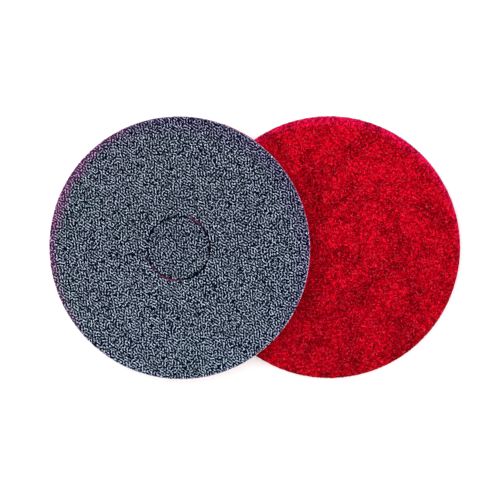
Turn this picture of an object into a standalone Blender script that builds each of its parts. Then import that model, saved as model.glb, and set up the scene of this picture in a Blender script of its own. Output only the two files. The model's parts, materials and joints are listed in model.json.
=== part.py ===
"""A pair of round, double-sided floor pads for a rotary floor machine, lying one partly over the other.

Each pad is a laminate die-cut to a disc: a gritty slate face layer, a thin bond layer and a thick open
red web. A round cut in the middle leaves a knock-out plug, held by a few uncut bridges. The back pad
lies flat with its red side up. The front pad has its slate face up: its left rim is on the floor and
its underside rests on the back pad's rim, so it lies at a slight slope.

Metres, +Z up. The origin is on the floor, at the middle of the pair's bounding box.
"""

import math

import bmesh
import bpy
from mathutils import Matrix, Vector

# Driving dimensions
PAD_DIAMETER = 0.508
PAD_THICKNESS = 0.0254
FACE_THICKNESS = 0.0040
BOND_THICKNESS = 0.0017
WEB_INSET = 0.0010  # the web's rim stands this far inside the face layer's
RIM_ROUNDING = 0.0025
PLUG_DIAMETER = 0.120
CUT_WIDTH = 0.0015
BRIDGE_COUNT = 3
BRIDGE_WIDTH = 0.012
BRIDGE_HEIGHT = 0.010
FIRST_BRIDGE_ANGLE = math.radians(110)
CENTRE_SPACING = 0.2866  # between the two pads' centres, along X

# Clearances
LAYER_GAP = 0.0003
BRIDGE_GAP = 0.0003
PAD_GAP = 0.0003

# How finely round shapes are divided
RIM_STEPS = 72
PLUG_STEPS = 48
ROUNDING_STEPS = 2
SMOOTH_ANGLE = math.radians(35)
MERGE_DISTANCE = 0.00001

# Worked out from the driving dimensions
PAD_RADIUS = PAD_DIAMETER / 2
WEB_RADIUS = PAD_RADIUS - WEB_INSET
PLUG_RADIUS = PLUG_DIAMETER / 2
HOLE_RADIUS = PLUG_RADIUS + CUT_WIDTH
WEB_TOP = PAD_THICKNESS - FACE_THICKNESS - BOND_THICKNESS - 2 * LAYER_GAP
BOND_BOTTOM = WEB_TOP + LAYER_GAP
BOND_TOP = BOND_BOTTOM + BOND_THICKNESS
FACE_BOTTOM = BOND_TOP + LAYER_GAP

# Layer name, bottom, top, outer radius, and whether its top or its bottom rim is rounded.
# Heights are in a pad's own frame: 0 is the red side, PAD_THICKNESS is the slate face.
LAYERS = (
    ("web", 0.0, WEB_TOP, WEB_RADIUS, False, True),
    ("bond_layer", BOND_BOTTOM, BOND_TOP, WEB_RADIUS, False, False),
    ("face_layer", FACE_BOTTOM, PAD_THICKNESS, PAD_RADIUS, True, False),
)
PLUG_NAMES = {"web": "plug_web", "bond_layer": "plug_bond", "face_layer": "plug_face"}

# Linear colour and roughness
FINISHES = {
    "web": ((0.45, 0.004, 0.016), 0.85),
    "bond_layer": ((0.17, 0.02, 0.09), 0.80),
    "face_layer": ((0.11, 0.14, 0.18), 0.75),
}


def clear_scene():
    for obj in list(bpy.data.objects):
        bpy.data.objects.remove(obj, do_unlink=True)


def make_collection(name):
    collection = bpy.data.collections.new(name)
    bpy.context.scene.collection.children.link(collection)
    return collection


def make_material(name):
    colour, roughness = FINISHES[name]
    material = bpy.data.materials.new(name)
    material.use_nodes = True
    shader = material.node_tree.nodes["Principled BSDF"]
    shader.inputs["Base Color"].default_value = (*colour, 1.0)
    shader.inputs["Roughness"].default_value = roughness
    shader.inputs["Metallic"].default_value = 0.0
    return material


def make_frame(name, collection, matrix, parent=None):
    """An empty that carries one rigid piece."""
    empty = bpy.data.objects.new(name, None)
    empty.empty_display_size = PLUG_RADIUS
    collection.objects.link(empty)
    empty.parent = parent
    empty.matrix_local = matrix
    return empty


def attach(name, mesh, collection, parent, material):
    obj = bpy.data.objects.new(name, mesh)
    collection.objects.link(obj)
    obj.parent = parent
    mesh.materials.append(material)
    return obj


def rounded_corner(radius, height, up):
    """Points of a quarter circle at the outer rim, from the upper end of the curve to the lower."""
    centre = Vector((radius - RIM_ROUNDING, height - RIM_ROUNDING if up else height + RIM_ROUNDING))
    start = math.pi / 2 if up else 0.0
    points = []
    for step in range(ROUNDING_STEPS + 1):
        angle = start - step / ROUNDING_STEPS * math.pi / 2
        points.append(centre + RIM_ROUNDING * Vector((math.cos(angle), math.sin(angle))))
    return points


def ring_profile(bottom, top, outer_radius, round_top, round_bottom):
    """The section of a ring layer: out along its top, down its rim, in along its bottom."""
    points = [Vector((HOLE_RADIUS, top))]
    points += rounded_corner(outer_radius, top, True) if round_top else [Vector((outer_radius, top))]
    if round_bottom:
        points += rounded_corner(outer_radius, bottom, False)
    else:
        points.append(Vector((outer_radius, bottom)))
    points.append(Vector((HOLE_RADIUS, bottom)))
    return points


def turned_mesh(name, profile):
    """A closed section in the XZ plane, for a Screw modifier to turn about Z."""
    mesh = bpy.data.meshes.new(name)
    bm = bmesh.new()
    corners = [bm.verts.new((point.x, 0.0, point.y)) for point in profile]
    for first, second in zip(corners, corners[1:] + corners[:1]):
        bm.edges.new((first, second))
    bm.to_mesh(mesh)
    bm.free()
    return mesh


def add_screw(obj):
    screw = obj.modifiers.new("turn", "SCREW")
    screw.axis = "Z"
    screw.angle = 2 * math.pi
    screw.steps = RIM_STEPS
    screw.render_steps = RIM_STEPS
    screw.use_merge_vertices = True
    screw.merge_threshold = MERGE_DISTANCE
    screw.use_smooth_shade = False


def add_union(obj, other):
    union = obj.modifiers.new("join_" + other.name, "BOOLEAN")
    union.operation = "UNION"
    union.solver = "EXACT"
    union.object = other


def make_bridge(name, cutters, frame, angle):
    """A lug across the cut, from inside the web to just short of the plug."""
    inner = PLUG_RADIUS + BRIDGE_GAP
    outer = HOLE_RADIUS + BRIDGE_WIDTH / 2
    size = Vector((outer - inner, BRIDGE_WIDTH, BRIDGE_HEIGHT))
    centre = Vector(((inner + outer) / 2, 0.0, WEB_TOP / 2))
    turn = Matrix.Rotation(angle, 4, "Z")
    mesh = bpy.data.meshes.new(name)
    bm = bmesh.new()
    bmesh.ops.create_cube(bm, size=1.0, matrix=turn @ Matrix.Translation(centre) @ Matrix.Diagonal((*size, 1.0)))
    bm.to_mesh(mesh)
    bm.free()
    obj = bpy.data.objects.new(name, mesh)
    cutters.objects.link(obj)
    obj.parent = frame
    obj.hide_render = True
    obj.display_type = "WIRE"
    return obj


def make_ring(name, layer, collection, frame, material):
    kind, bottom, top, outer_radius, round_top, round_bottom = layer
    profile = ring_profile(bottom, top, outer_radius, round_top, round_bottom)
    obj = attach(name, turned_mesh(name, profile), collection, frame, material)
    add_screw(obj)
    return obj


def make_plug_disc(name, layer, collection, frame, material):
    kind, bottom, top, outer_radius, round_top, round_bottom = layer
    mesh = bpy.data.meshes.new(name)
    bm = bmesh.new()
    bmesh.ops.create_cone(
        bm,
        cap_ends=True,
        segments=PLUG_STEPS,
        radius1=PLUG_RADIUS,
        radius2=PLUG_RADIUS,
        depth=top - bottom,
        matrix=Matrix.Translation((0.0, 0.0, (bottom + top) / 2)),
    )
    bm.to_mesh(mesh)
    bm.free()
    mesh.shade_smooth()
    mesh.set_sharp_from_angle(angle=SMOOTH_ANGLE)
    return attach(name, mesh, collection, frame, material)


def make_pad(prefix, matrix, collection, cutters, materials):
    """One pad: its ring layers on the pad's frame, and its plug's layers on the plug's frame."""
    pad_frame = make_frame(prefix + "_pad", collection, matrix)
    plug_frame = make_frame(prefix + "_plug", collection, Matrix.Identity(4), pad_frame)
    for layer in LAYERS:
        kind = layer[0]
        material = materials[kind]
        ring = make_ring(prefix + "_" + kind, layer, collection, pad_frame, material)
        make_plug_disc(prefix + "_" + PLUG_NAMES[kind], layer, collection, plug_frame, material)
        if kind == "web":
            for index in range(BRIDGE_COUNT):
                angle = FIRST_BRIDGE_ANGLE + index * 2 * math.pi / BRIDGE_COUNT
                bridge = make_bridge(f"{prefix}_bridge_{index + 1}", cutters, pad_frame, angle)
                add_union(ring, bridge)


def underside_height(slope):
    """Height of the front pad's underside at its centre, with its left rim on the floor."""
    inner = WEB_RADIUS - RIM_ROUNDING
    return inner * math.sin(slope) + RIM_ROUNDING * (1 - math.cos(slope))


def clearance_over_rim(slope):
    """Distance from the front pad's underside to the back pad's rounded upper rim, at this slope."""
    along = CENTRE_SPACING - (WEB_RADIUS - RIM_ROUNDING)
    above = PAD_THICKNESS - RIM_ROUNDING - underside_height(slope)
    return along * math.sin(slope) - above * math.cos(slope) - RIM_ROUNDING


def resting_slope():
    """The slope at which the underside just clears the back pad's rim by PAD_GAP, by bisection."""
    low = 0.0
    high = math.pi / 4
    for _ in range(60):
        middle = (low + high) / 2
        if clearance_over_rim(middle) < PAD_GAP:
            low = middle
        else:
            high = middle
    return (low + high) / 2


def pad_places():
    """The two pads' frames, with the pair's bounding box centred on the origin."""
    slope = resting_slope()
    reach_left = (
        (PAD_RADIUS - RIM_ROUNDING) * math.cos(slope)
        + (PAD_THICKNESS - RIM_ROUNDING) * math.sin(slope)
        + RIM_ROUNDING
    )
    middle = (PAD_RADIUS - reach_left) / 2
    front_x = -CENTRE_SPACING / 2 - middle
    back_x = CENTRE_SPACING / 2 - middle
    front = Matrix.Translation((front_x, 0.0, underside_height(slope))) @ Matrix.Rotation(-slope, 4, "Y")
    back = Matrix.Translation((back_x, 0.0, PAD_THICKNESS)) @ Matrix.Rotation(math.pi, 4, "X")
    return front, back


def main():
    clear_scene()
    parts = make_collection("floor_pad_pair")
    cutters = make_collection("floor_pad_pair_cutters")
    materials = {name: make_material(name) for name in FINISHES}
    front, back = pad_places()
    make_pad("front", front, parts, cutters, materials)
    make_pad("back", back, parts, cutters, materials)


main()
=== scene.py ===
"""Floor Pad Pair: two double-sided round floor pads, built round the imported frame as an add-on.

Each pad is a disc of three layers: a coarse slate face that carries grit, a thin purple bond and a
thick red web. Every layer has a turned, lumpy bed, and thousands of short curled fibres lie in its
surface. A pad's own frame has its origin at the middle of the red side and its third axis out of the
slate face, so the same functions make the pad that lies slate side up and the one turned over.
"""

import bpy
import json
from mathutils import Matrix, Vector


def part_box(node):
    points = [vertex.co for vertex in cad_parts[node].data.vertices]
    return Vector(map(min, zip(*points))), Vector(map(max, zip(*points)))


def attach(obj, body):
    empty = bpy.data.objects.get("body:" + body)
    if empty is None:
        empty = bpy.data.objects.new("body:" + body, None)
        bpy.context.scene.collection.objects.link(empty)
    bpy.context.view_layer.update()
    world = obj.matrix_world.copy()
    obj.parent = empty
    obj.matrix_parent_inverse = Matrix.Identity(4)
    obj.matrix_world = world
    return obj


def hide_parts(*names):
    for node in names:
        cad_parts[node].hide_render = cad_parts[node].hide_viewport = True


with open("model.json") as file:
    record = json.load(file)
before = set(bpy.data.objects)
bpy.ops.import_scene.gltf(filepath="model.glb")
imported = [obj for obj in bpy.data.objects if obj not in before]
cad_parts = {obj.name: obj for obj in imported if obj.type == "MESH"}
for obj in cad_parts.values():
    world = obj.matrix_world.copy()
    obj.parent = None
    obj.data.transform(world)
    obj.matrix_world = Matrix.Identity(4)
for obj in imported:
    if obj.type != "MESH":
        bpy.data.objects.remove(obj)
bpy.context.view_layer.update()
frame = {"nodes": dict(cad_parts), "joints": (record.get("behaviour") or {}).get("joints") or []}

import json
import math

import bpy
import numpy as np

bl_info = {
    "name": "Floor Pad Pair",
    "version": (1, 0, 0),
    "blender": (4, 5, 0),
    "location": "View3D > Sidebar > Floor Pads",
    "description": "Builds a pair of double-sided nonwoven floor pads round their packed frame",
    "category": "Add Mesh",
}

MM = 0.001
PADS = ("front", "back")
TINY = 1e-9  # keeps a division by a length from failing at nought

# Material slots of the record
SLATE_SLOT = "slate_grit_face"
BOND_SLOT = "purple_bond"
WEB_SLOT = "red_web"


# ---------------------------------------------------------------- the frame's sizes and places

def box_of(node):
    """A node's lowest and highest corners as arrays."""
    low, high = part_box(node)
    return np.array(low), np.array(high)


def span(node):
    """Size of a node's box along X, Y and Z."""
    low, high = box_of(node)
    return high - low


def centre_of(node):
    """Middle of a node's box."""
    low, high = box_of(node)
    return (low + high) / 2


def joint_axis(name):
    """Unit vector of a joint, as the record gives it."""
    for joint in frame["joints"]:
        if joint["name"] == name:
            axis = np.array(joint["axis"], float)
            return axis / np.linalg.norm(axis)
    raise ValueError("the frame has no joint named " + name)


def inner_radius(node):
    """Radius of a ring's hole: the least distance of its points from its axis."""
    vertices = frame["nodes"][node].data.vertices
    points = np.empty(len(vertices) * 3, np.float32)
    vertices.foreach_get("co", points)
    return float(np.linalg.norm((points.reshape(-1, 3) - centre_of(node))[:, :2], axis=1).min())


FACE_RADIUS = span("back_face_layer")[0] / 2
WEB_RADIUS = span("back_web")[0] / 2
PLUG_RADIUS = span("back_plug_web")[0] / 2
HOLE_RADIUS = inner_radius("back_bond_layer")
PLUG_SHARE = PLUG_RADIUS**2 / (FACE_RADIUS**2 - HOLE_RADIUS**2)  # plug area over ring area
PAD_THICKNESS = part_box("back_web")[1].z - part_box("back_face_layer")[0].z
# Heights in a pad's own frame, from the red side up. The back pad lies turned over.
WEB_TOP = span("back_web")[2]
BOND_BOTTOM = PAD_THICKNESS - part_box("back_bond_layer")[1].z
BOND_TOP = PAD_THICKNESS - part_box("back_bond_layer")[0].z
FACE_BOTTOM = PAD_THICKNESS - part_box("back_face_layer")[1].z


class PadFrame:
    """A pad's own frame: its red side's centre, and axes across it, along it and out of its slate face."""

    def __init__(self, prefix):
        side = 1.0 if prefix == "front" else -1.0
        normal = side * joint_axis(prefix + "_plug_push")
        along = np.array((0.0, side, 0.0))
        self.axes = np.array((np.cross(along, normal), along, normal))
        self.origin = centre_of(prefix + "_plug_web") - normal * WEB_TOP / 2

    def place(self, points):
        """Own-frame points put into the row frame, none of them below the floor."""
        placed = points @ self.axes + self.origin
        placed[:, 2] = np.maximum(placed[:, 2], 0.0)
        return placed


PAD_FRAMES = {prefix: PadFrame(prefix) for prefix in PADS}


# ---------------------------------------------------------------- settings a user would change

def length(text, note, default_mm):
    return bpy.props.FloatProperty(
        name=text, description=note, default=default_mm * MM, min=0.0, precision=5, unit="LENGTH"
    )


def count(text, note, default):
    return bpy.props.IntProperty(name=text, description=note, default=default, min=0)


def colour(text, note, default):
    return bpy.props.FloatVectorProperty(
        name=text, description=note, default=default, size=3, min=0.0, max=1.0, subtype="COLOR"
    )


class FloorPadSizes(bpy.types.PropertyGroup):
    """Sizes and numbers of the fibres and lumps."""

    rim_rounding: length("Rim Rounding", "Radius of the die-cut rim's worn edge", 2.5)
    slate_bed_depth: length("Slate Bed Depth", "How far the slate bed lies under the tops of its fibres", 1.6)
    slate_spacing: length("Slate Spacing", "Distance between neighbouring strands of the slate net", 5.3)
    slate_radius: length("Slate Strand Radius", "Radius of a resin-clotted strand of the slate net", 0.92)
    slate_stride: length("Slate Stride", "Distance between two points of a slate strand", 1.85)
    slate_strands: count("Slate Strands", "Strands of the slate net on one pad's ring", 18000)
    slate_strays: count("Slate Strays", "Thin loose strands over one pad's slate net", 2600)
    red_bed_depth: length("Red Bed Depth", "How far the red bed lies under the tops of its fibres", 0.7)
    red_radius: length("Red Fibre Radius", "Radius of a red fibre", 0.54)
    red_stride: length("Red Stride", "Distance between two points of a red fibre", 2.1)
    red_strands: count("Red Fibres", "Fibres on one pad's red ring", 19000)
    wall_strands: count("Rim Fibres", "Fibres round one pad's rim", 8200)
    underside_share: bpy.props.FloatProperty(
        name="Underside Share",
        description="Share of the fibres that a face turned to the floor gets",
        default=0.22,
        min=0.0,
        max=1.0,
        subtype="FACTOR",
    )
    grit_grains: count("Grit Grains", "Knots of grit and resin on one pad's slate ring", 4200)
    grit_size: length("Grit Size", "Mean radius of a knot of grit and resin", 0.85)


class FloorPadColours(bpy.types.PropertyGroup):
    """Colours of the layers, in scene-linear values."""

    # Slate Void is painted shade: a near-black bed where the open web's deep voids lie in shade
    slate_void: colour("Slate Void", "Depths between the slate strands", (0.0004, 0.0014, 0.0065))
    # Slate Dark and Slate Light are the ends of the strands' painted light by height: painted shade on low
    # strands and painted light on high ones. Slate Blue is the lit end on the bluer side. Slate Dark is also
    # the dark of the grit's resin and of the bed's crumbs.
    slate_dark: colour("Slate Dark", "Low strands of the slate net", (0.007, 0.016, 0.036))
    slate_light: colour("Slate Light", "High strands of the slate net", (0.70, 0.79, 1.0))
    slate_blue: colour("Slate Blue", "High strands of the slate net's bluer side", (0.65, 0.80, 1.0))
    slate_green: colour("Slate Green", "Greenish strands in patches", (0.60, 0.82, 0.88))
    grit: colour("Grit", "Knots of grit and resin", (0.92, 0.95, 1.0))
    # Rim Depth is painted shade in the crescent's depths, on the bed under its strands
    rim_depth: colour("Rim Depth", "Depths between the magenta crescent's strands", (0.045, 0.011, 0.045))
    rim_purple: colour("Rim Purple", "Strands round the slate face's rim", (0.62, 0.52, 0.90))
    rim_magenta: colour("Rim Magenta", "Thinly coated strands along one side of the rim", (0.86, 0.33, 0.72))
    bond_dark: colour("Bond Dark", "Depths of the bond layer", (0.025, 0.002, 0.012))
    bond_light: colour("Bond Light", "Strands of the bond layer", (0.27, 0.040, 0.13))
    # Red Dark is partly the web's own dark patches and partly painted shade in its depths and pits
    red_dark: colour("Red Dark", "Depths and dark patches of the red web", (0.085, 0.0001, 0.0010))
    red_mid: colour("Red Mid", "Most of the red web", (0.90, 0.0012, 0.020))
    # Red Light is a painted highlight on the tops of a few red fibres
    red_light: colour("Red Light", "High fibres of the red web", (1.0, 0.055, 0.125))
    red_pink: colour("Red Pink", "Bright rim of the red web", (0.98, 0.006, 0.12))


# ---------------------------------------------------------------- whole-array geometry

# Wavelength and height of the two sizes of lumps in a bed
BED_LUMPS = ((17 * MM, 0.6), (7.5 * MM, 0.5))
ARC_POINTS = 4  # points on a worn rim's quarter circle
CLOSED_CUT = 0.2 * MM  # what is left of the cut where it has closed
CLOSED_REACH = 4 * MM  # how far into the ring the closed cut pulls the bed
CLOSED_SHARE = 0.6  # share of the web's thickness, from the red side, that has closed all round
OPEN_SIDE = math.radians(-33)  # bearing of the middle of the cut's open side, in a pad's own frame
# Cosines of the bearing from that middle where the cut starts to gape, and where it gapes fully
OPEN_FROM = -0.05
OPEN_TO = 0.45
WAVE_STRETCH = (0.82, 1.22)  # spread of a wave field's wave numbers
LEAST_BEND = 1.5  # keeps a slide onto a ridge short where the wave field is nearly flat


def smooth(share):
    """A share from 0 to 1, with level ends."""
    return share * share * (3 - 2 * share)


def unit(vectors):
    """Vectors over their lengths."""
    return vectors / np.maximum(np.linalg.norm(vectors, axis=-1, keepdims=True), TINY)


def on_circle(turn):
    """The cosine and sine of angles, as the last axis."""
    return np.stack((np.cos(turn), np.sin(turn)), axis=-1)


def wave_set(seed, wavelength, waves, axes):
    """Wave vectors of one length in random directions, and their phases."""
    rng = np.random.default_rng(seed)
    directions = unit(rng.normal(size=(waves, axes)))
    stretch = rng.uniform(*WAVE_STRETCH, (waves, 1))
    return directions * stretch * 2 * math.pi / wavelength, rng.uniform(0, 2 * math.pi, waves)


def lumps(points, seed, wavelength, waves=22):
    """Sum of cosines of plane waves of about one wavelength, in random directions, scaled to unit spread."""
    vectors, phases = wave_set(seed, wavelength, waves, points.shape[-1])
    return np.cos(points @ vectors.T + phases).sum(axis=-1) * math.sqrt(2 / waves)


def wave_relief(points, seed, wavelength, waves=22):
    """The same sum on a plane, with the direction and the offset of its nearest ridge.

    The slope is minus each wave's vector times its sine, and the curvature is minus the vector's
    products times its cosine. A ridge runs along the direction in which the curvature is greatest,
    and lies across it where the slope across it is nought: Newton's step gives the offset, which is
    kept under a quarter of a wavelength.
    """
    vectors, phases = wave_set(seed, wavelength, waves, 2)
    turns = points @ vectors.T + phases
    scale = math.sqrt(2 / waves)
    cosine = np.cos(turns) * scale
    slope = -(np.sin(turns) @ vectors) * scale
    xx, yy = -(cosine @ vectors[:, 0] ** 2), -(cosine @ vectors[:, 1] ** 2)
    xy = -(cosine @ (vectors[:, 0] * vectors[:, 1]))
    along = on_circle(0.5 * np.arctan2(2 * xy, xx - yy))
    across = np.stack((-along[:, 1], along[:, 0]), axis=1)
    bend = (xx + yy) / 2 - np.hypot((xx - yy) / 2, xy)
    bend = np.minimum(bend, -((LEAST_BEND / wavelength) ** 2))
    offset = np.clip(-(slope * across).sum(axis=1) / bend, -wavelength / 4, wavelength / 4)
    return cosine.sum(axis=1), along, across * offset[:, None]


def make_object(name, points, quads, triangles, material):
    """A mesh object from whole arrays of points and of faces with four and with three corners."""
    mesh = bpy.data.meshes.new(name)
    mesh.vertices.add(len(points))
    mesh.vertices.foreach_set("co", np.ascontiguousarray(points, np.float32).ravel())
    corners = np.concatenate((quads.ravel(), triangles.ravel())).astype(np.int32)
    starts = np.concatenate((np.arange(len(quads)) * 4, len(quads) * 4 + np.arange(len(triangles)) * 3))
    mesh.loops.add(len(corners))
    mesh.loops.foreach_set("vertex_index", corners)
    mesh.polygons.add(len(starts))
    mesh.polygons.foreach_set("loop_start", starts.astype(np.int32))
    mesh.polygons.foreach_set("use_smooth", np.ones(len(starts), bool))
    mesh.update(calc_edges=True)
    mesh.materials.append(material)
    obj = bpy.data.objects.new(name, mesh)
    bpy.context.scene.collection.objects.link(obj)
    return obj


def add_values(obj, name, kind, values):
    """Stores one number or vector per point under a name that materials read."""
    layer = obj.data.attributes.new(name, kind, "POINT")
    field = "vector" if kind == "FLOAT_VECTOR" else "value"
    layer.data.foreach_set(field, np.ascontiguousarray(values, np.float32).ravel())


def facing_out(points, quads, triangles):
    """The faces, turned round if the volume that they enclose comes out negative."""
    def volume(first, second, third):
        return np.einsum("ij,ij->", points[first], np.cross(points[second], points[third])) / 6

    total = volume(quads[:, 0], quads[:, 1], quads[:, 2]) + volume(quads[:, 0], quads[:, 2], quads[:, 3])
    total += volume(triangles[:, 0], triangles[:, 1], triangles[:, 2])
    if total < 0:
        return quads[:, ::-1], triangles[:, ::-1]
    return quads, triangles


def make_piece(label, prefix, plug, points, quads, triangles, finish):
    """A finished piece of one pad's ring or plug, made in the pad's own frame.

    It rides with its pad or its plug, and its own-frame places are stored for its material.
    """
    part = prefix + "_plug" if plug else prefix
    quads, triangles = facing_out(points, quads, triangles)
    placed = PAD_FRAMES[prefix].place(points)
    obj = make_object(f"{part}_{label}", placed, quads, triangles, finish_of(finish))
    add_values(obj, "pad_place", "FLOAT_VECTOR", points)
    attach(obj, part if plug else prefix + "_pad")
    return obj


def section(corners):
    """Points along a section through corners of radius, height, lump height and spacing.

    Each corner's spacing is for the run that follows it, so the last one's isn't used.
    """
    rows = []
    for (r0, z0, a0, spacing), (r1, z1, a1, _) in zip(corners, corners[1:]):
        parts = max(1, round(math.hypot(r1 - r0, z1 - z0) / spacing))
        share = np.arange(parts)[:, None] / parts
        rows.append(np.array((r0, z0, a0)) * (1 - share) + np.array((r1, z1, a1)) * share)
    return np.concatenate(rows)


def rim_arc(radius, height, rounding, up, lump):
    """Corners of a quarter circle round a rim, from its upper end to its lower, for a section."""
    centre = np.array((radius - rounding, height - rounding if up else height + rounding))
    start = math.pi / 2 if up else 0.0
    arc = centre + rounding * on_circle(start - np.linspace(0, math.pi / 2, ARC_POINTS))
    return [(r, z, lump, WALL_SPACING) for r, z in arc]


def open_cut(points):
    """How far the round cut gapes at each point's bearing: 1 where it stands open, 0 where it has closed."""
    bearing = np.arctan2(points[..., 1], points[..., 0]) - OPEN_SIDE
    return smooth(np.clip((np.cos(bearing) - OPEN_FROM) / (OPEN_TO - OPEN_FROM), 0, 1))


def turned_body(rows, steps, seed, closed):
    """Points and faces of a section turned about the pad's axis.

    Each point is (r cos t, r sin t, z), moved along the section's outward normal by its lump height
    times two sizes of lumps. A closed section makes a ring, whose inner wall leans in to the plug where
    the cut has closed and never passes it. An open one runs from the axis to the axis, and its two ends
    are single points with a fan of triangles.
    """
    radius, height, swell = rows.T
    if closed:
        run = np.roll(rows[:, :2], -1, axis=0) - np.roll(rows[:, :2], 1, axis=0)
    else:
        run = np.gradient(rows[:, :2], axis=0)
    normal = unit(np.stack((-run[:, 1], run[:, 0]), axis=1))
    if normal[0, 1] < 0:
        normal = -normal
    turn = np.arange(steps) * 2 * math.pi / steps

    def spun(r, z):
        flat = r[:, None, None] * on_circle(turn)[None]
        return np.concatenate((flat, np.broadcast_to(z[:, None, None], (len(rows), steps, 1))), axis=-1)

    points = spun(radius, height)
    push = sum(lumps(points, seed + size, wave) * high for size, (wave, high) in enumerate(BED_LUMPS))
    points = points + (push * swell[:, None])[..., None] * spun(normal[:, 0], normal[:, 1])
    across = np.linalg.norm(points[..., :2], axis=-1)
    if closed:
        near = np.clip(1 - (across - HOLE_RADIUS) / CLOSED_REACH, 0, 1)
        low_side = np.clip(1 - points[..., 2] / (CLOSED_SHARE * WEB_TOP), 0, 1)
        shut = np.maximum(1 - open_cut(points), low_side) * near * (HOLE_RADIUS - PLUG_RADIUS - CLOSED_CUT)
        kept = np.maximum(across - shut, PLUG_RADIUS + CLOSED_CUT)
    else:
        kept = np.minimum(across, PLUG_RADIUS)
    points[..., :2] *= (kept / np.maximum(across, TINY))[..., None]
    index = np.arange(len(rows) * steps).reshape(len(rows), steps)
    after = np.roll(index, -1, axis=1)
    if closed:
        below, below_after = np.roll(index, -1, axis=0), np.roll(after, -1, axis=0)
        quads = np.stack((index, after, below_after, below), axis=-1).reshape(-1, 4)
        return points.reshape(-1, 3), quads, np.empty((0, 3), int)
    quads = np.stack((index[:-1], after[:-1], after[1:], index[1:]), axis=-1)[1:-1].reshape(-1, 4) - steps
    poles = points[[0, -1], 0] * (0, 0, 1)
    inner = points[1:-1].reshape(-1, 3)
    top = np.stack((np.full(steps, len(inner)), after[0], index[0]), axis=-1)
    end = index[-3] if len(rows) > 3 else index[0]
    bottom = np.stack((np.full(steps, len(inner) + 1), end, np.roll(end, -1)), axis=-1)
    return np.concatenate((inner, poles)), quads, np.concatenate((top, bottom))


# ---------------------------------------------------------------- fibres

SIDES = 3
FIBRE_POINTS = 4
NET_SEED = 401  # of the wave field that the slate strands and the knots follow
SLIDES = 3  # steps of a start's slide onto its ridge
JOG = 0.45  # farthest a start is moved at random, over the distance between starts
WOBBLE_SHARE = 0.6  # a path's random wobble over its steady curl
STRIDE_SPREAD = (0.7, 1.3)
SIZE_SPREAD = (0.7, 1.25)
END_TAPER = 0.45  # how much thinner a fibre's ends are than its middle
RISE_POWER = 0.45  # under 1: a fibre rises fast and then runs nearly level
LOWEST_PEAK = 0.55
LEAN_LIMIT = 0.97  # greatest lean of a fibre's normal on the worn rim
UV_EDGE = 0.06  # bare edge round each fibre's square of the bake's map


def spread_on_ring(number, inner, outer, rng):
    """Even places on a flat ring: equal areas outwards, each a golden angle on, then jogged at random."""
    place = (np.arange(number) + 0.5) / number
    radius = np.sqrt(inner**2 + place * (outer**2 - inner**2))
    turn = np.arange(number) * math.pi * (3 - math.sqrt(5))
    cell = math.sqrt(math.pi * (outer**2 - inner**2) / max(number, 1))
    points = radius[:, None] * on_circle(turn)
    return points + rng.uniform(-JOG, JOG, points.shape) * cell


def onto_ridges(places):
    """Places slid onto the nearest ridges of the slate net's wave field."""
    spacing = bpy.context.scene.floor_pad_sizes.slate_spacing
    for _ in range(SLIDES):
        places = places + wave_relief(places, NET_SEED, spacing)[2]
    return places


def along_ridges(starts, rng):
    """Paths that follow the ridges of the slate net's wave field, and the field's height along them.

    At each step a path moves by the stride along the ridge, towards the side of its last heading, and
    slides back onto the ridge.
    """
    sizes = bpy.context.scene.floor_pad_sizes
    heading = on_circle(rng.uniform(0, 2 * math.pi, len(starts)))
    place = onto_ridges(starts)
    path, crest = [], []
    for _ in range(FIBRE_POINTS):
        value, along, offset = wave_relief(place, NET_SEED, sizes.slate_spacing)
        place = place + offset
        path.append(place)
        crest.append(value)
        heading = along * np.sign((along * heading).sum(axis=1, keepdims=True) + TINY)
        place = place + heading * sizes.slate_stride
    return np.stack(path, axis=1), np.stack(crest, axis=1)


def wandering(starts, stride, curl, rng, heading=None):
    """Paths with a steady random curl and a random wobble: each heading is the last one plus both."""
    number = len(starts)
    if heading is None:
        heading = rng.uniform(0, 2 * math.pi, number)
    steady = rng.normal(0, curl, (number, 1)) * np.arange(FIBRE_POINTS - 1)
    wobble = rng.normal(0, curl * WOBBLE_SHARE, (number, FIBRE_POINTS - 1)).cumsum(axis=1)
    turn = heading[:, None] + steady + wobble
    moves = on_circle(turn) * stride * rng.uniform(*STRIDE_SPREAD, (number, 1, 1))
    return starts[:, None] + np.concatenate((np.zeros((number, 1, 2)), moves.cumsum(axis=1)), axis=1)


def arch(number, low, high, rng):
    """Height of each point of each fibre: both ends low, the middle high, with a random share of the rise."""
    share = np.linspace(0, 1, FIBRE_POINTS)
    rise = np.sin(math.pi * share) ** RISE_POWER
    peak = rng.uniform(LOWEST_PEAK, 1.0, (number, 1))
    return low + (high - low) * rise * peak, rise * peak


def tapered(number, radius, rng):
    """Radius at each point of each fibre: a random size, thinner towards both ends."""
    share = np.linspace(-1, 1, FIBRE_POINTS)
    return radius * rng.uniform(*SIZE_SPREAD, (number, 1)) * (1 - END_TAPER * share**4)[None]


def on_face(paths, heights, top, outer, inner, rounding, up):
    """Flat paths laid on a pad's face and bent down round the worn rim.

    A path that would cross one of the two radii turns back from it as a ray does from a mirror. The
    inner radius may be an array, one for each point. Returns own-frame points and their normals.
    """
    radius = np.linalg.norm(paths, axis=-1)
    kept = np.clip(inner + np.abs(radius - inner), 0, outer)
    kept = np.minimum(kept, 2 * outer - radius)
    paths = paths * (kept / np.maximum(radius, TINY))[..., None]
    over = np.clip(kept - (outer - rounding), 0, rounding * 0.98)
    drop = rounding - np.sqrt(rounding**2 - over**2)
    side = 1 if up else -1
    z = top + side * (heights - drop)
    lean = np.clip(over / rounding, 0, LEAN_LIMIT)[..., None]
    flat = paths / np.maximum(kept, TINY)[..., None]
    normal = np.concatenate((flat * lean, side * np.sqrt(1 - lean**2)), axis=-1)
    return np.concatenate((paths, z[..., None]), axis=-1), normal


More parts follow.
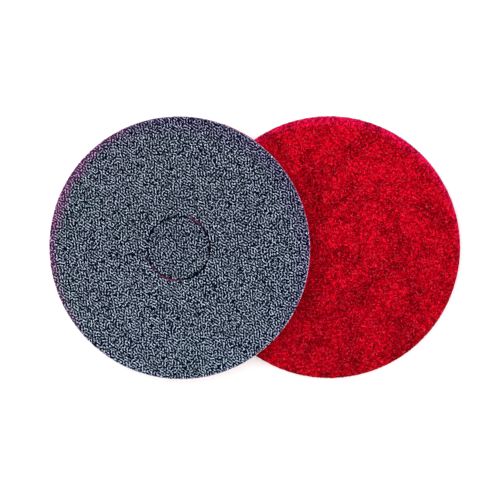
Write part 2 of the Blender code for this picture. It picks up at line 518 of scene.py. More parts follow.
def on_wall(paths, heights, radius, low, high):
    """Flat paths wrapped round a rim: x is the distance round it, y the height, and heights stand out."""
    flat = on_circle(paths[..., 0] / radius)
    z = np.clip(paths[..., 1:], low, high)
    points = np.concatenate((flat * (radius + heights)[..., None], z), axis=-1)
    return points, np.concatenate((flat, 0 * z), axis=-1)


def tubes(paths, normals, radii):
    """Closed three-sided tubes: corners across the path at each of its points, and a cap at each end."""
    number = len(paths)
    tangent = unit(np.gradient(paths, axis=1))
    side = unit(np.cross(tangent, normals))
    up = np.cross(side, tangent)
    turn = math.pi / 2 + np.arange(SIDES) * 2 * math.pi / SIDES
    ring = np.cos(turn)[:, None] * side[:, :, None] + np.sin(turn)[:, None] * up[:, :, None]
    points = paths[:, :, None] + ring * radii[:, :, None, None]
    index = np.arange(number * FIBRE_POINTS * SIDES).reshape(number, FIBRE_POINTS, SIDES)
    beside = np.roll(index, -1, axis=2)
    quads = np.stack((index[:, :-1], index[:, 1:], beside[:, 1:], beside[:, :-1]), axis=-1).reshape(-1, 4)
    caps = np.concatenate((index[:, 0], index[:, -1, ::-1]))
    return points.reshape(-1, 3), quads, caps


def fibre_map(obj, number):
    """A square of the bake's map for each fibre: across it the tube's sides, and up it the fibre's length."""
    grid = math.ceil(math.sqrt(max(number, 1)))
    cell = np.stack((np.arange(number) % grid, np.arange(number) // grid), axis=-1)
    side = np.arange(SIDES)[None, :, None]
    step = np.arange(FIBRE_POINTS - 1)[:, None, None]
    across = (side + np.array((0, 0, 1, 1))[None, None]) / SIDES + 0 * step
    upward = (step + np.array((0, 1, 1, 0))[None, None]) / (FIBRE_POINTS - 1) + 0 * side
    inside = np.stack((across, upward), axis=-1).reshape(1, -1, 2)
    places = (cell[:, None] + UV_EDGE + (1 - 2 * UV_EDGE) * inside).reshape(-1, 2)
    caps = np.array(((0.1, 0.01), (0.5, 0.05), (0.9, 0.01)))
    ends = (np.concatenate((cell, cell))[:, None] + caps[None]).reshape(-1, 2)
    layer = obj.data.uv_layers.new(name="OFBake")
    layer.uv.foreach_set("vector", (np.concatenate((places, ends)) / grid).astype(np.float32).ravel())


def make_fibres(label, prefix, plug, laid, thickness, height_light, rng, finish, flank=1.0):
    """Fibres along laid points with their normals, with their own shade and their height for the material.

    The height sets the material's painted light, in full at a tube's top corner and times flank at its lower
    corners, which paints shade on the tube's lower sides.
    """
    paths, normals = laid
    number = len(paths)
    points, quads, caps = tubes(paths, normals, tapered(number, thickness, rng))
    obj = make_piece(label, prefix, plug, points, quads, caps, finish)
    shade = np.repeat(rng.uniform(0, 1, number), FIBRE_POINTS * SIDES)
    add_values(obj, "fibre_shade", "FLOAT", shade)
    # Painted shade: a tube's lower corners get flank times its painted light by height
    corner_share = np.array((1.0,) + (flank,) * (SIDES - 1))
    add_values(obj, "fibre_height_light", "FLOAT", height_light[..., None] * corner_share)
    fibre_map(obj, number)


# ---------------------------------------------------------------- materials

FIBRE_GLOSS = 0.01  # resin on rough nylon: hardly any mirror light
# Places of a Mix node's colour sockets
MIX_FIRST = 6
MIX_SECOND = 7
MIX_RESULT = 2
# A slate strand's painted light and shade: by its height, by its own shade, and the power that deepens its
# darks
HEIGHT_GAIN = 1.65
HEIGHT_START = -0.30
SHADE_GAIN = 0.32
SLATE_CONTRAST = 1.8

# Soft patches: noise scale, share of the finer noise, and the two noise values that the mask runs between
MOTTLES = {
    "rim specks": (130.0, 0.4, 0.36, 0.58),
    "green patches": (9.0, 0.3, 0.44, 0.66),
    "bed crumbs": (320.0, 0.5, 0.50, 0.72),
    "grime": (330.0, 0.35, 0.38, 0.60),
    "broad red": (17.0, 0.25, 0.37, 0.60),
    "small red": (280.0, 0.2, 0.42, 0.58),
    # red pits: dark blotches that are painted shade in the web's pits
    "red pits": (80.0, 0.3, 0.38, 0.48),
    "red streaks": (210.0, 0.45, 0.42, 0.60),
    "bond resin": (260.0, 0.5, 0.38, 0.62),
    "grit resin": (600.0, 0.6, 0.36, 0.56),
}

# Edge masks: the circle's centre in the pad's frame, the two radii that the mask runs between, and its waver
EDGES = {
    "purple": ((-10 * MM, -16 * MM, 0), FACE_RADIUS - 29 * MM, FACE_RADIUS + 14 * MM, 0.02),
    "crescent": ((30 * MM, -10 * MM, 0), FACE_RADIUS + 4 * MM, FACE_RADIUS + 32 * MM, 0.03),
    "pink": ((-3 * MM, 12 * MM, 0), WEB_RADIUS - 10 * MM, WEB_RADIUS + 12 * MM, 0.01),
    # plug: painted shade on the sunk plug, darker inside its edge
    "plug": ((0, 0, 0), PLUG_RADIUS, HOLE_RADIUS, 0.0),
}

# Drifts across a pad: bearing in degrees, and the two distances from its axis that the mask runs between
DRIFTS = {
    "blue": (-75, -0.22, 0.24),
    "green": (190, -0.15, 0.35),
    "light": (-95, -0.2, 0.2),
    "red": (-100, -0.25, 0.25),
}


class Recipe:
    """A node tree, with a short call for each node that the finishes are made of. Calls return sockets."""

    def __init__(self, tree):
        self.tree = tree
        self.place = None  # set in a material: where each point lies in its pad's frame

    def node(self, kind, inputs=None, **settings):
        """A shader node with its settings, its values and its links."""
        node = self.tree.nodes.new(kind)
        for key, value in settings.items():
            setattr(node, key, value)
        for socket, value in (inputs or {}).items():
            if isinstance(value, bpy.types.NodeSocket):
                self.tree.links.new(value, node.inputs[socket])
            else:
                node.inputs[socket].default_value = value
        return node

    def stored(self, name, output="Fac"):
        """A value stored with the piece's points."""
        return self.node("ShaderNodeAttribute", attribute_name=name).outputs[output]

    def maths(self, operation, *values, clamp=False):
        node = self.node("ShaderNodeMath", dict(enumerate(values)), operation=operation, use_clamp=clamp)
        return node.outputs[0]

    def product(self, first, second, clamp=False):
        return self.maths("MULTIPLY", first, second, clamp=clamp)

    def between(self, mask, at_none, at_full, clamp=False):
        """One number where the mask is 0, and another where it is 1."""
        return self.maths("MULTIPLY_ADD", mask, at_full - at_none, at_none, clamp=clamp)

    def vectors(self, operation, first, second=(0, 0, 0), output=0):
        return self.node("ShaderNodeVectorMath", {0: first, 1: second}, operation=operation).outputs[output]

    def noise(self, place, scale, detail, roughness=0.5):
        inputs = {"Vector": place, "Scale": scale, "Detail": detail, "Roughness": roughness}
        return self.node("ShaderNodeTexNoise", inputs).outputs["Fac"]

    def spread(self, value, low, high, kind="SMOOTHSTEP", to=(0.0, 1.0)):
        """A value spread from two limits to two others."""
        inputs = {"Value": value, "From Min": low, "From Max": high, "To Min": to[0], "To Max": to[1]}
        return self.node("ShaderNodeMapRange", inputs, interpolation_type=kind).outputs["Result"]

    def mixed(self, share, first, second):
        """Two colours mixed by a share. A colour is a socket or three numbers."""
        ends = [end if isinstance(end, bpy.types.NodeSocket) else (*end, 1.0) for end in (first, second)]
        inputs = {"Factor": share, MIX_FIRST: ends[0], MIX_SECOND: ends[1]}
        return self.node("ShaderNodeMix", inputs, data_type="RGBA").outputs[MIX_RESULT]

    def group_mask(self, group, **inputs):
        return self.node("ShaderNodeGroup", inputs, node_tree=group).outputs["Mask"]

    def mottle(self, name, place=None):
        """A mask of soft patches."""
        scale, fine, low, high = MOTTLES[name]
        place = self.place if place is None else place
        return self.group_mask(mottle_group(), Place=place, Scale=scale, Fine=fine, Low=low, High=high)

    def edge(self, name):
        """A mask that grows towards a circle's edge."""
        centre, inner, outer, waver = EDGES[name]
        return self.group_mask(
            edge_group(), Place=self.place, Centre=centre, Inner=inner, Outer=outer, Waver=waver
        )

    def drift(self, name):
        """A mask that runs across a pad along a bearing."""
        bearing, start, end = DRIFTS[name]
        direction = (math.cos(math.radians(bearing)), math.sin(math.radians(bearing)), 0.0)
        far = self.vectors("DOT_PRODUCT", self.place, direction, "Value")
        return self.spread(far, start, end, "LINEAR")


def mask_group(name, defaults, fill):
    """A node group with named inputs and one output, Mask, made the first time it is asked for."""
    if name in bpy.data.node_groups:
        return bpy.data.node_groups[name]
    tree = bpy.data.node_groups.new(name, "ShaderNodeTree")
    for label, default in defaults.items():
        kind = "NodeSocketVector" if isinstance(default, tuple) else "NodeSocketFloat"
        socket = tree.interface.new_socket(name=label, in_out="INPUT", socket_type=kind)
        socket.default_value = default
    tree.interface.new_socket(name="Mask", in_out="OUTPUT", socket_type="NodeSocketFloat")
    mask = fill(Recipe(tree), tree.nodes.new("NodeGroupInput").outputs)
    tree.links.new(mask, tree.nodes.new("NodeGroupOutput").inputs["Mask"])
    return tree


def mottle_group():
    """Soft patches: coarse noise plus finer noise, spread between two limits to a mask."""
    def fill(recipe, given):
        coarse = recipe.noise(given["Place"], given["Scale"], 3.0)
        fine = recipe.noise(given["Place"], recipe.product(given["Scale"], 3.7), 4.0)
        both = recipe.node("ShaderNodeMix", {"Factor": given["Fine"], "A": coarse, "B": fine})
        return recipe.spread(both.outputs["Result"], given["Low"], given["High"])

    defaults = {"Place": (0, 0, 0), "Scale": 30.0, "Fine": 0.5, "Low": 0.35, "High": 0.65}
    return mask_group("fibre mottle", defaults, fill)


def edge_group():
    """How near a place is to a circle's edge: its distance from a centre plus noise, spread to a mask."""
    def fill(recipe, given):
        offset = recipe.vectors("SUBTRACT", given["Place"], given["Centre"])
        far = recipe.vectors("LENGTH", recipe.vectors("MULTIPLY", offset, (1, 1, 0)), output="Value")
        waver = recipe.maths("SUBTRACT", recipe.noise(given["Place"], 55.0, 3.0), 0.5)
        moved = recipe.maths("MULTIPLY_ADD", waver, given["Waver"], far)
        return recipe.spread(moved, given["Inner"], given["Outer"])

    defaults = {"Place": (0, 0, 0), "Centre": (0, 0, 0), "Inner": 0.23, "Outer": 0.25, "Waver": 0.004}
    return mask_group("rim distance", defaults, fill)


def crescent(recipe):
    """Mask of the slate face's magenta crescent, broken up by specks."""
    specks = recipe.between(recipe.mottle("rim specks"), 0.6, 1.05, clamp=True)
    return recipe.product(recipe.edge("crescent"), specks)


def slate_tint(recipe, hues, base):
    """A slate colour with its bluer and greener sides, its purple edge and its magenta crescent."""
    tinted = recipe.mixed(recipe.drift("blue"), base, hues.slate_blue)
    green = recipe.product(recipe.mottle("green patches"), recipe.drift("green"))
    tinted = recipe.mixed(green, tinted, hues.slate_green)
    tinted = recipe.mixed(recipe.product(recipe.edge("purple"), 0.85), tinted, hues.rim_purple)
    return recipe.mixed(recipe.product(crescent(recipe), 0.95), tinted, hues.rim_magenta)


def slate_bed_colour(recipe, hues):
    # The bed is painted near black: painted shade of the deep voids under the strands, dark magenta under the
    # crescent
    base = recipe.mixed(recipe.mottle("bed crumbs"), hues.slate_void, hues.slate_dark)
    return recipe.mixed(crescent(recipe), base, hues.rim_depth)


def slate_fibre_colour(recipe, hues):
    """Painted light on a strand's high top and painted shade at its low ends, by its height, its own shade
    and grime.
    """
    height = recipe.maths("MULTIPLY_ADD", recipe.stored("fibre_height_light"), HEIGHT_GAIN, HEIGHT_START)
    light = recipe.maths("MULTIPLY_ADD", recipe.stored("fibre_shade"), SHADE_GAIN, height, clamp=True)
    light = recipe.maths("POWER", light, SLATE_CONTRAST)
    light = recipe.product(light, recipe.between(recipe.mottle("grime"), 0.18, 1.98))
    light = recipe.product(light, recipe.between(recipe.drift("light"), 0.80, 1.10))
    # Painted shade: the strands on the sunk plug are darker
    light = recipe.product(light, recipe.between(recipe.edge("plug"), 0.78, 1.0))
    return recipe.mixed(light, hues.slate_dark, slate_tint(recipe, hues, hues.slate_light))


def grit_colour(recipe, hues):
    return recipe.mixed(recipe.mottle("grit resin"), hues.slate_dark, slate_tint(recipe, hues, hues.grit))


def red_colour(recipe, hues, boost):
    """The red web's colour: dark patches to red by two sizes of mottle, painted shade in its pits, pinker
    towards one edge; boost is lower on the bed as painted shade under the fibres and higher on the fibres.
    """
    small = recipe.product(recipe.mottle("small red"), 0.65)
    share = recipe.maths("MULTIPLY_ADD", recipe.mottle("broad red"), 0.40, small)
    # Painted shade in the web's pits: dark blotches
    share = recipe.product(share, recipe.between(recipe.mottle("red pits"), 0.5, 1.0))
    pink = recipe.edge("pink")
    red = recipe.mixed(recipe.product(pink, 0.8), hues.red_mid, hues.red_pink)
    bright = recipe.maths("MULTIPLY_ADD", pink, 0.45, recipe.between(recipe.drift("red"), 0.85, 1.20))
    share = recipe.product(recipe.product(share, bright), boost, clamp=True)
    return recipe.mixed(share, hues.red_dark, red)


def red_bed_colour(recipe, hues):
    """Darker than the fibres over it, as painted shade, with dark streaks that lie level, as the web's layers
    do.
    """
    level = recipe.vectors("MULTIPLY", recipe.place, (1.0, 1.0, 5.0))
    streaks = recipe.between(recipe.mottle("red streaks", level), 0.15, 1.0)
    return recipe.mixed(streaks, hues.red_dark, red_colour(recipe, hues, 0.8))


def red_fibre_colour(recipe, hues):
    """Each fibre somewhat darker by its own shade, and a few of them with a painted highlight along their
    tops.
    """
    shade = recipe.stored("fibre_shade")
    base = recipe.mixed(recipe.product(shade, 0.7), red_colour(recipe, hues, 1.25), hues.red_dark)
    few = recipe.maths("MULTIPLY_ADD", shade, -3.0, 1.0, clamp=True)
    return recipe.mixed(recipe.product(few, recipe.stored("fibre_height_light")), base, hues.red_light)


def bond_bed_colour(recipe, hues):
    return recipe.mixed(recipe.mottle("bond resin"), hues.bond_dark, hues.bond_light)


def bond_fibre_colour(recipe, hues):
    resin = recipe.product(recipe.mottle("bond resin"), 0.4)
    mask = recipe.maths("MULTIPLY_ADD", recipe.stored("fibre_shade"), 0.6, resin)
    return recipe.mixed(mask, hues.bond_dark, hues.bond_light)


# Slot, lowest and highest roughness, grain scale and depth, and the colour's function
FINISHES = {
    "slate bed": (SLATE_SLOT, 0.75, 0.95, 900.0, 1.2 * MM, slate_bed_colour),
    "slate fibre": (SLATE_SLOT, 0.42, 0.72, 1400.0, 0.6 * MM, slate_fibre_colour),
    "grit": (SLATE_SLOT, 0.25, 0.5, 1800.0, 0.3 * MM, grit_colour),
    "bond bed": (BOND_SLOT, 0.6, 0.9, 1100.0, 0.8 * MM, bond_bed_colour),
    "bond fibre": (BOND_SLOT, 0.6, 0.9, 1100.0, 0.8 * MM, bond_fibre_colour),
    "red bed": (WEB_SLOT, 0.7, 0.95, 900.0, 1.0 * MM, red_bed_colour),
    "red fibre": (WEB_SLOT, 0.45, 0.7, 1500.0, 0.4 * MM, red_fibre_colour),
}


def finish_of(name):
    """A material by name, made the first time it is asked for. Its roughness and bump follow a fine grain."""
    if name in bpy.data.materials:
        return bpy.data.materials[name]
    _, smoothest, roughest, grain_scale, grain_depth, colour_of = FINISHES[name]
    material = bpy.data.materials.new(name)
    material.use_nodes = True
    tree = material.node_tree
    recipe = Recipe(tree)
    recipe.place = recipe.stored("pad_place", "Vector")
    grain = recipe.noise(recipe.place, grain_scale, 5.0, 0.65)
    rough = recipe.spread(grain, 0.3, 0.7, "LINEAR", (smoothest, roughest))
    bump = recipe.node("ShaderNodeBump", {"Height": grain, "Strength": 0.6, "Distance": grain_depth})
    shader = tree.nodes["Principled BSDF"]
    shader.inputs["Specular IOR Level"].default_value = FIBRE_GLOSS
    tree.links.new(rough, shader.inputs["Roughness"])
    tree.links.new(bump.outputs["Normal"], shader.inputs["Normal"])
    tree.links.new(colour_of(recipe, bpy.context.scene.floor_pad_colours), shader.inputs["Base Color"])
    return material


# ---------------------------------------------------------------- pieces

RING_STEPS = 480
PLUG_STEPS = 144
FACE_SPACING = 3.2 * MM
WALL_SPACING = 1.6 * MM
HIDDEN = 1.0  # spacing of a hidden face: one run from corner to corner
PLUG_SINK = 0.5 * MM  # the plug's slate face lies this far under the ring's
PLUG_ROUNDING = 0.8 * MM
PLUG_WALL_LUMPS = 0.15 * MM
CUT_REACH = 6 * MM  # how far from the cut a strand may close over it
STRAY_RADIUS = 0.36 * MM
# Painted shade on the lower sides of the slate strands
DIM_FLANK = 0.45  # how much of its height's light a slate strand's lower corners get
RED_RIM_SHARE = 0.76
BOND_RIM_SHARE = 0.10
# The slate rim's fibres get this share of their painted light by height, so the slate rim is darker
SLATE_RIM_DIM = 0.62
# A net strand's share of its full height: at the wave field's mean level, by the field, and at least
CREST_MEAN = 0.62
CREST_GAIN = 0.22
CREST_LEAST = 0.25
FRAY_STRIDE = 1.8 * MM
FRAYS = ((-108, 15, 60), (-146, 5, 18), (54, 12, 44))  # bearing and half width in degrees, and fibres


def layer_section(top, bottom, outer, plug, top_lumps, bottom_lumps, wall_lumps):
    """Section of a layer, as a ring or as a plug. A face with lumps has a worn rim, a hidden one is flat."""
    start = 0.0 if plug else HOLE_RADIUS
    rim = PLUG_RADIUS if plug else outer
    edge = PLUG_WALL_LUMPS if plug else wall_lumps
    rounding = PLUG_ROUNDING if plug else bpy.context.scene.floor_pad_sizes.rim_rounding
    corners = [(start, top, top_lumps, FACE_SPACING if top_lumps else HIDDEN)]
    corners += rim_arc(rim, top, rounding, True, edge) if top_lumps else [(rim, top, 0.0, WALL_SPACING)]
    corners += rim_arc(rim, bottom, rounding, False, edge) if bottom_lumps else [(rim, bottom, 0.0, HIDDEN)]
    if bottom_lumps:
        corners[-1] = (*corners[-1][:3], FACE_SPACING)
    corners.append((start, bottom, bottom_lumps, WALL_SPACING))
    if plug:
        return np.concatenate((section(corners), [(start, bottom, 0.0)]))
    return section(corners + corners[:1])


def make_beds(
    finish, nodes, seed, top, bottom, outer, top_lumps=0.0, bottom_lumps=0.0, wall_lumps=0.0, sink=0.0
):
    """A layer's beds, ring and plug, on both pads. Each replaces its plain node, the ring's named first."""
    beds = []
    for order, prefix in enumerate(PADS):
        for plug, node in zip((False, True), nodes):
            top_here = top - sink if plug else top
            rows = layer_section(top_here, bottom, outer, plug, top_lumps, bottom_lumps, wall_lumps)
            body = turned_body(rows, PLUG_STEPS if plug else RING_STEPS, seed + order, not plug)
            bed = make_piece(finish.replace(" ", "_"), prefix, plug, *body, finish)
            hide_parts(f"{prefix}_{node}")
            beds.append(bed)
    return beds


class FLOORPAD_OT_beds(bpy.types.Operator):
    """Make the solid beds of the slate faces, the bond layers and the red webs"""

    bl_idname = "floorpad.beds"
    bl_label = "Beds"

    def execute(self, context):
        sizes = context.scene.floor_pad_sizes
        make_beds(
            "slate bed", ("face_layer", "plug_face"), 11, PAD_THICKNESS - sizes.slate_bed_depth, FACE_BOTTOM,
            FACE_RADIUS - 0.8 * MM, top_lumps=0.55 * MM, wall_lumps=0.4 * MM, sink=PLUG_SINK,
        )
        make_beds("bond bed", ("bond_layer", "plug_bond"), 21, BOND_TOP, BOND_BOTTOM, WEB_RADIUS - 0.6 * MM)
        red_beds = make_beds(
            "red bed", ("web", "plug_web"), 31, WEB_TOP, sizes.red_bed_depth, WEB_RADIUS - 0.5 * MM,
            bottom_lumps=0.4 * MM, wall_lumps=0.6 * MM,
        )
        return {"FINISHED"}


def slate_strands(label, prefix, plug, number, inner, outer, seed, net=True):
    """Strands in a slate face between two radii: the net's, or thin strays that wander over it, dimmer.

    The net's strands follow the ridges of a wave field, stand higher where the field is high, and close
    over the cut where it doesn't gape.
    """
    sizes = bpy.context.scene.floor_pad_sizes
    rng = np.random.default_rng(seed)
    starts = spread_on_ring(number, inner, outer, rng)
    if net:
        low = -sizes.slate_bed_depth - 0.4 * MM
        paths, crest = along_ridges(starts, rng)
        heights, height_light = arch(number, low, -0.55 * MM, rng)
        crest = np.clip(CREST_MEAN + CREST_GAIN * crest, CREST_LEAST, 1)
        heights = low + (heights - low) * crest
        # A net strand's painted light follows its height on the wave field
        height_light = height_light * crest
    else:
        paths = wandering(starts, 3.0 * MM, 0.4, rng)
        heights, height_light = arch(number, -1.9 * MM, -0.3 * MM, rng)
        # Strays get less painted light by height
        height_light = height_light * 0.55
    if net and not plug:
        shut = (1 - open_cut(paths)) * (HOLE_RADIUS - PLUG_RADIUS + CLOSED_CUT)
        inner = np.where(np.linalg.norm(paths, axis=-1) < inner + CUT_REACH, inner - shut, inner)
    top = PAD_THICKNESS - PLUG_SINK if plug else PAD_THICKNESS
    laid = on_face(paths, heights, top, outer, inner, PLUG_ROUNDING if plug else sizes.rim_rounding, True)
    thickness = sizes.slate_radius if net else STRAY_RADIUS
    make_fibres(label, prefix, plug, laid, thickness, height_light, rng, "slate fibre", flank=DIM_FLANK)


class FLOORPAD_OT_slate_fibres(bpy.types.Operator):
    """Lay the net of resin-clotted slate strands and its strays in the slate faces"""

    bl_idname = "floorpad.slate_fibres"
    bl_label = "Slate Fibres"

    def execute(self, context):
        sizes = context.scene.floor_pad_sizes
        middle = math.sqrt((HOLE_RADIUS**2 + FACE_RADIUS**2) / 2)
        rim = FACE_RADIUS - sizes.slate_radius
        for prefix in PADS:
            share = 1.0 if prefix == "front" else sizes.underside_share
            ring = int(sizes.slate_strands * share)
            plug = int(ring * PLUG_SHARE)
            slate_strands("slate_net_1", prefix, False, ring // 2, HOLE_RADIUS + 0.9 * MM, middle, 501)
            slate_strands("slate_net_2", prefix, False, ring // 2, middle, rim, 502)
            slate_strands("slate_net", prefix, True, plug, 0.0, PLUG_RADIUS - 0.4 * MM, 511)
            ring = int(sizes.slate_strays * share)
            plug = int(ring * PLUG_SHARE)
            slate_strands("slate_strays", prefix, False, ring, HOLE_RADIUS + 0.6 * MM, rim, 521, net=False)
            slate_strands("slate_strays", prefix, True, plug, 0.0, PLUG_RADIUS - 0.5 * MM, 531, net=False)
        return {"FINISHED"}


def red_fleece(label, prefix, plug, number, inner, outer, seed):
    """Fine red fibres lying in every direction on the red side, between two radii."""
    sizes = bpy.context.scene.floor_pad_sizes
    rng = np.random.default_rng(seed)
    paths = wandering(spread_on_ring(number, inner, outer, rng), sizes.red_stride, 0.42, rng)
    heights, height_light = arch(number, -sizes.red_bed_depth - 0.3 * MM, 0.0, rng)
    laid = on_face(paths, heights, 0.0, outer, inner, sizes.rim_rounding, False)
    make_fibres(label, prefix, plug, laid, sizes.red_radius, height_light, rng, "red fibre")


class FLOORPAD_OT_red_fibres(bpy.types.Operator):
    """Lay fine red fibres in the red sides"""

    bl_idname = "floorpad.red_fibres"
    bl_label = "Red Fibres"

    def execute(self, context):
        sizes = context.scene.floor_pad_sizes
        middle = math.sqrt((HOLE_RADIUS**2 + WEB_RADIUS**2) / 2)
        for prefix in PADS:
            ring = int(sizes.red_strands * (1.0 if prefix == "back" else sizes.underside_share))
            plug = int(ring * PLUG_SHARE)
            rim = WEB_RADIUS - sizes.red_radius
            red_fleece("red_fleece_1", prefix, False, ring // 2, PLUG_RADIUS + 0.8 * MM, middle, 601)
            red_fleece("red_fleece_2", prefix, False, ring // 2, middle, rim, 602)
            red_fleece("red_fleece", prefix, True, plug, 0.0, PLUG_RADIUS - 0.5 * MM, 611)
        return {"FINISHED"}


def rim_fibres(label, prefix, finish, number, seed, radius, low, high, thickness, stride, dim=1.0):
    """Fibres round a rim, mostly level, kept between two heights."""
    rng = np.random.default_rng(seed)
    around = rng.uniform(0, 2 * math.pi * radius, number)
    starts = np.stack((around, rng.uniform(low, high, number)), axis=1)
    heading = rng.normal(0, 0.6, number) + math.pi * rng.integers(0, 2, number)
    paths = wandering(starts, stride, 0.3, rng, heading)
    heights, height_light = arch(number, -1.1 * MM, 0.35 * MM, rng)
    laid = on_wall(paths, heights, radius, low, high)
    make_fibres(label, prefix, False, laid, thickness, height_light * dim, rng, finish)


class FLOORPAD_OT_rim_fibres(bpy.types.Operator):
    """Wind fibres round the rims of the three layers"""

    bl_idname = "floorpad.rim_fibres"
    bl_label = "Rim Fibres"

    def execute(self, context):
        sizes = context.scene.floor_pad_sizes
        web = int(sizes.wall_strands * RED_RIM_SHARE)
        bond = int(sizes.wall_strands * BOND_RIM_SHARE)
        face = sizes.wall_strands - web - bond
        for order, prefix in enumerate(PADS):
            rim_fibres(
                "red_rim", prefix, "red fibre", web, 701 + order, WEB_RADIUS - 0.5 * MM,
                low=1.2 * MM, high=WEB_TOP - 0.2 * MM, thickness=0.46 * MM, stride=sizes.red_stride,
            )
            rim_fibres(
                "bond_rim", prefix, "bond fibre", bond, 711 + order, WEB_RADIUS - 0.4 * MM,
                low=BOND_BOTTOM - 0.5 * MM, high=BOND_TOP + 0.3 * MM, thickness=0.45 * MM,
                stride=sizes.red_stride,
            )
            rim_fibres(
                "slate_rim", prefix, "slate fibre", face, 721 + order, FACE_RADIUS - 0.9 * MM,
                low=FACE_BOTTOM, high=PAD_THICKNESS - 1.6 * MM, thickness=0.7 * MM,
                stride=sizes.slate_stride, dim=SLATE_RIM_DIM,
            )
        return {"FINISHED"}


def knot_shape():
    """A twelve-cornered lump of unit radius: two poles, and two rings of five corners half a step apart."""
    turn = np.arange(5) * 2 * math.pi / 5
    wide, high = 2 / math.sqrt(5), 1 / math.sqrt(5)
    upper = np.concatenate((wide * on_circle(turn), np.full((5, 1), high)), axis=1)
    lower = np.concatenate((wide * on_circle(turn + math.pi / 5), np.full((5, 1), -high)), axis=1)
    points = np.concatenate(([(0, 0, 1)], upper, lower, [(0, 0, -1)]))
    here, after = np.arange(5), np.roll(np.arange(5), -1)
    faces = (
        (np.zeros(5, int), 1 + here, 1 + after),
        (1 + here, 6 + here, 1 + after),
        (1 + after, 6 + here, 6 + after),
        (np.full(5, 11), 6 + after, 6 + here),
    )
    return points, np.concatenate([np.stack(face, axis=1) for face in faces])


def random_turns(number, rng):
    """Random rotations: two random directions made square to each other, and their cross product."""
    first, second = rng.normal(size=(2, number, 3))
    first = unit(first)
    second = unit(second - first * (first * second).sum(axis=1, keepdims=True))
    return np.stack((first, second, np.cross(first, second)), axis=1)


def knots(prefix, plug, number, inner, outer, top, seed):
    """Knots of grit and resin that sit on the slate net's ridges: stretched and turned copies of one lump."""
    size = bpy.context.scene.floor_pad_sizes.grit_size
    rng = np.random.default_rng(seed)
    places = onto_ridges(spread_on_ring(number, inner, outer, rng))
    radius = np.linalg.norm(places, axis=1)
    places = places[(radius < outer) & (radius > inner)]
    number = len(places)
    centres = np.concatenate((places, top - rng.uniform(0.45, 1.2, (number, 1)) * MM), axis=1)
    shape, faces = knot_shape()
    stretch = rng.uniform(0.45, 1.4, (number, 1, 3)) * size
    points = (shape[None] * stretch) @ random_turns(number, rng) + centres[:, None]
    faces = (faces[None] + len(shape) * np.arange(number)[:, None, None]).reshape(-1, 3)
    make_piece("grit", prefix, plug, points.reshape(-1, 3), np.empty((0, 4), int), faces, "grit")


class FLOORPAD_OT_grit(bpy.types.Operator):
    """Set knots of grit and resin on the slate faces"""

    bl_idname = "floorpad.grit"
    bl_label = "Grit Knots"

    def execute(self, context):
        sizes = context.scene.floor_pad_sizes
        rim = FACE_RADIUS - 2 * sizes.grit_size
        for prefix in PADS:
            ring = int(sizes.grit_grains * (1.0 if prefix == "front" else sizes.underside_share))
            plug = int(ring * PLUG_SHARE)
            knots(prefix, False, ring, HOLE_RADIUS + 1.5 * MM, rim, PAD_THICKNESS, 801)
            knots(prefix, True, plug, 0.0, PLUG_RADIUS - 1.6 * MM, PAD_THICKNESS - PLUG_SINK, 811)
        return {"FINISHED"}


class FLOORPAD_OT_frays(bpy.types.Operator):
    """Lay the purple fibres that have worked up through the round cut at a few places"""

    bl_idname = "floorpad.frays"
    bl_label = "Frayed Cut"

    def execute(self, context):
        for prefix in PADS:
            rng = np.random.default_rng(901)
            groups = [rng.normal(bearing, half_width / 1.6, number) for bearing, half_width, number in FRAYS]
            bearing = np.radians(np.concatenate(groups))
            number = len(bearing)
            radius = HOLE_RADIUS + rng.uniform(-0.8, 2.6, number) * MM
            starts = radius[:, None] * on_circle(bearing)
            heading = bearing + math.pi / 2 + rng.normal(0, 0.35, number)
            paths = wandering(starts, FRAY_STRIDE, 0.3, rng, heading)
            heights, height_light = arch(number, -1.6 * MM, -0.2 * MM, rng)
            inner, outer = PLUG_RADIUS + 0.9 * MM, HOLE_RADIUS + 3.8 * MM
            laid = on_face(paths, heights, PAD_THICKNESS, outer, inner, 0.1 * MM, True)
            thickness = context.scene.floor_pad_sizes.red_radius
            make_fibres("cut_fray", prefix, False, laid, thickness, height_light, rng, "bond fibre")
        return {"FINISHED"}


# ---------------------------------------------------------------- stage

FLOOR_SIZE = 60.0
FLOOR_GREY = 0.93
WORLD_STRENGTH = 1.4
# Name, place, size and power of each lamp
LIGHTS = (("key", (-1.3, 1.5, 2.6), 1.6, 52), ("fill", (1.8, -1.2, 2.4), 2.4, 16))
LENS_MM = 200.0
VIEW_WIDTH = 0.9647  # width of the floor that the camera sees at the pads
AIM = (-0.0081, -0.0039, 0.03)
TILT_EAST = math.radians(2.0)
TILT_NORTH = math.radians(4.0)


def add_floor():
    material = bpy.data.materials.new("pale floor")
    material.use_nodes = True
    shader = material.node_tree.nodes["Principled BSDF"]
    shader.inputs["Base Color"].default_value = (FLOOR_GREY, FLOOR_GREY, FLOOR_GREY, 1.0)
    shader.inputs["Roughness"].default_value = 0.9
    half = FLOOR_SIZE / 2
    corners = np.array(((-half, -half, 0), (half, -half, 0), (half, half, 0), (-half, half, 0)))
    floor = make_object("floor", corners, np.array(((0, 1, 2, 3),)), np.empty((0, 3), int), material)


def add_lights():
    """A white world all round, and disc lamps turned to the pads."""
    world = bpy.data.worlds.new("studio")
    world.use_nodes = True
    world.node_tree.nodes["Background"].inputs["Color"].default_value = (1.0, 1.0, 1.0, 1.0)
    world.node_tree.nodes["Background"].inputs["Strength"].default_value = WORLD_STRENGTH
    bpy.context.scene.world = world
    for name, place, size, power in LIGHTS:
        data = bpy.data.lights.new(name, "AREA")
        data.shape = "DISK"
        data.size = size
        data.energy = power
        lamp = bpy.data.objects.new(name, data)
        bpy.context.scene.collection.objects.link(lamp)
        lamp.location = place
        lamp.rotation_euler = (-Vector(place)).to_track_quat("-Z", "Y").to_euler()


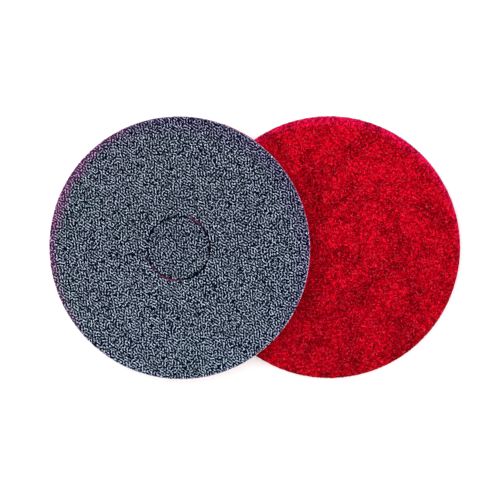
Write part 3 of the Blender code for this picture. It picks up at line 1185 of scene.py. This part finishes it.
def add_camera():
    """A long lens over the pads, leaning a little from upright so that the far rims' walls just show."""
    data = bpy.data.cameras.new("camera")
    data.lens = LENS_MM
    camera = bpy.data.objects.new("camera", data)
    bpy.context.scene.collection.objects.link(camera)
    distance = VIEW_WIDTH / 2 / (data.sensor_width / 2 / data.lens)
    back = Vector((math.tan(TILT_EAST), math.tan(TILT_NORTH), 1.0)).normalized()
    camera.location = Vector(AIM) + back * distance
    camera.rotation_euler = (-TILT_NORTH, TILT_EAST, 0.0)
    bpy.context.scene.camera = camera


class FLOORPAD_OT_stage(bpy.types.Operator):
    """Make the floor, the soft studio light and the camera"""

    bl_idname = "floorpad.stage"
    bl_label = "Stage"

    def execute(self, context):
        add_floor()
        add_lights()
        add_camera()
        context.scene.view_settings.view_transform = "Standard"
        return {"FINISHED"}


# ---------------------------------------------------------------- panel and registration

OPERATORS = (
    FLOORPAD_OT_stage,
    FLOORPAD_OT_beds,
    FLOORPAD_OT_slate_fibres,
    FLOORPAD_OT_red_fibres,
    FLOORPAD_OT_rim_fibres,
    FLOORPAD_OT_grit,
    FLOORPAD_OT_frays,
)


class FLOORPAD_PT_panel(bpy.types.Panel):
    """Lists the pad pair's operators and settings"""

    bl_label = "Floor Pads"
    bl_idname = "FLOORPAD_PT_panel"
    bl_space_type = "VIEW_3D"
    bl_region_type = "UI"
    bl_category = "Floor Pads"

    def draw(self, context):
        column = self.layout.column()
        for operator in OPERATORS:
            column.operator(operator.bl_idname)
        for settings in (context.scene.floor_pad_sizes, context.scene.floor_pad_colours):
            for name in settings.bl_rna.properties.keys():
                if name not in ("rna_type", "name"):
                    column.prop(settings, name)


CLASSES = (FloorPadSizes, FloorPadColours, *OPERATORS, FLOORPAD_PT_panel)


def register():
    for each in CLASSES:
        bpy.utils.register_class(each)
    bpy.types.Scene.floor_pad_sizes = bpy.props.PointerProperty(type=FloorPadSizes)
    bpy.types.Scene.floor_pad_colours = bpy.props.PointerProperty(type=FloorPadColours)


def unregister():
    del bpy.types.Scene.floor_pad_colours
    del bpy.types.Scene.floor_pad_sizes
    for each in reversed(CLASSES):
        bpy.utils.unregister_class(each)


def main():
    """Builds everything in order."""
    register()
    for operator in OPERATORS:
        group, name = operator.bl_idname.split(".")
        getattr(getattr(bpy.ops, group), name)()


if __name__ == "__main__":
    main()
